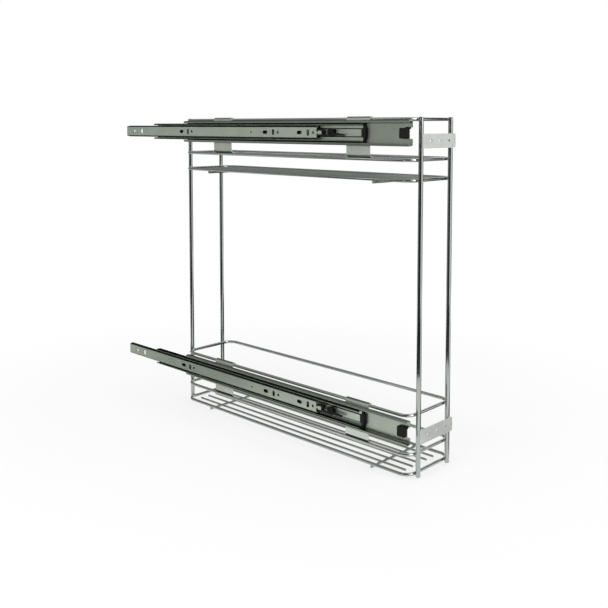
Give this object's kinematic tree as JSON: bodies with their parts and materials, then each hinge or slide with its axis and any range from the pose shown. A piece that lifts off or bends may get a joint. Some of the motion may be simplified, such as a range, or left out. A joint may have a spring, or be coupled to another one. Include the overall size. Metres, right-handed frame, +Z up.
{
  "type": "pull-out bottle and spice rack",
  "caption": "Narrow two-tier wire basket rack on side-mounted telescopic ball slides that pulls out of a kitchen cabinet with its door.",
  "frame": {"origin": "on the cabinet's side panel, midway between the two round screw holes of mount lower_rail_screws", "axes": "+X is the way the rack pulls out, +Y runs from the side panel across the rack, and +Z is up"},
  "size_m": [0.6625, 0.1222, 0.5141],
  "materials": {
    "chrome_wire": "bright chrome plating",
    "chrome_post": "bright chrome plating",
    "zinc_steel": "dull zinc-plated rolled steel",
    "carrier_plate": "smooth zinc-plated pressed steel",
    "door_bracket": "pale satin coating",
    "black_plastic": "moulded black plastic",
    "bumper_rubber": "matt black rubber",
    "ball_steel": "polished bearing steel",
    "cage_steel": "thin pressed steel strip",
    "rivet_steel": "zinc-plated steel"
  },
  "bodies": {
    "cabinet_rails": {"lower_cabinet_rail": "zinc_steel", "lower_lever_pin": "rivet_steel", "upper_cabinet_rail": "zinc_steel", "upper_lever_pin": "rivet_steel"},
    "lower_lever": {"lower_release_lever": "black_plastic"},
    "lower_inner_balls_run": {"lower_inner_ball_cage": "cage_steel", "lower_inner_balls": "ball_steel"},
    "lower_middle_stage": {"lower_middle_rail": "zinc_steel", "lower_middle_end_stop": "black_plastic"},
    "lower_outer_balls_run": {"lower_outer_ball_cage": "cage_steel", "lower_outer_balls": "ball_steel"},
    "upper_lever": {"upper_release_lever": "black_plastic"},
    "upper_inner_balls_run": {"upper_inner_ball_cage": "cage_steel", "upper_inner_balls": "ball_steel"},
    "upper_middle_stage": {"upper_middle_rail": "zinc_steel", "upper_middle_end_stop": "black_plastic"},
    "upper_outer_balls_run": {"upper_outer_ball_cage": "cage_steel", "upper_outer_balls": "ball_steel"},
    "rack": {"lower_rack_rail": "zinc_steel", "lower_rail_bumper": "bumper_rubber", "lower_rail_rivets": "rivet_steel", "lower_rear_plate": "carrier_plate", "lower_front_plate": "carrier_plate", "lower_floor_loop": "chrome_wire", "lower_middle_loop": "chrome_wire", "lower_top_loop": "chrome_wire", "lower_floor_wires": "chrome_wire", "lower_cross_wires": "chrome_wire", "lower_door_bracket": "door_bracket", "upper_rack_rail": "zinc_steel", "upper_rail_bumper": "bumper_rubber", "upper_rail_rivets": "rivet_steel", "upper_rear_plate": "carrier_plate", "upper_front_plate": "carrier_plate", "upper_floor_loop": "chrome_wire", "upper_middle_loop": "chrome_wire", "upper_top_loop": "chrome_wire", "upper_floor_wires": "chrome_wire", "upper_cross_wires": "chrome_wire", "upper_door_bracket": "door_bracket", "rear_near_post": "chrome_post", "rear_far_post": "chrome_post", "front_near_post": "chrome_post", "front_far_post": "chrome_post"}
  },
  "joints": [
    {"name": "rack_pull_out", "type": "slide", "parent": "cabinet_rails", "child": "rack", "axis": [1, 0, 0], "range_m": [-0.118, 0.352]},
    {"name": "lower_inner_cage_run", "type": "slide", "parent": "cabinet_rails", "child": "lower_inner_balls_run", "axis": [1, 0, 0], "range_m": [-0.0295, 0.088]},
    {"name": "lower_middle_rail_run", "type": "slide", "parent": "cabinet_rails", "child": "lower_middle_stage", "axis": [1, 0, 0], "range_m": [-0.059, 0.176]},
    {"name": "lower_outer_cage_run", "type": "slide", "parent": "cabinet_rails", "child": "lower_outer_balls_run", "axis": [1, 0, 0], "range_m": [-0.0885, 0.264]},
    {"name": "upper_inner_cage_run", "type": "slide", "parent": "cabinet_rails", "child": "upper_inner_balls_run", "axis": [1, 0, 0], "range_m": [-0.0295, 0.088]},
    {"name": "upper_middle_rail_run", "type": "slide", "parent": "cabinet_rails", "child": "upper_middle_stage", "axis": [1, 0, 0], "range_m": [-0.059, 0.176]},
    {"name": "upper_outer_cage_run", "type": "slide", "parent": "cabinet_rails", "child": "upper_outer_balls_run", "axis": [1, 0, 0], "range_m": [-0.0885, 0.264]},
    {"name": "lower_lever_turn", "type": "hinge", "parent": "cabinet_rails", "child": "lower_lever", "pos_m": [0.1955, 0.003, 0], "axis": [0, 1, 0], "range_deg": [-5, 5], "stiffness_Nm_per_rad": 0.05},
    {"name": "upper_lever_turn", "type": "hinge", "parent": "cabinet_rails", "child": "upper_lever", "pos_m": [0.1955, 0.003, 0.418], "axis": [0, 1, 0], "range_deg": [-5, 5], "stiffness_Nm_per_rad": 0.05}
  ],
  "couplings": [
    {"joint": "lower_inner_cage_run", "follows": "rack_pull_out", "ratio": 0.25},
    {"joint": "lower_middle_rail_run", "follows": "rack_pull_out", "ratio": 0.5},
    {"joint": "lower_outer_cage_run", "follows": "rack_pull_out", "ratio": 0.75},
    {"joint": "upper_inner_cage_run", "follows": "rack_pull_out", "ratio": 0.25},
    {"joint": "upper_middle_rail_run", "follows": "rack_pull_out", "ratio": 0.5},
    {"joint": "upper_outer_cage_run", "follows": "rack_pull_out", "ratio": 0.75}
  ]
}
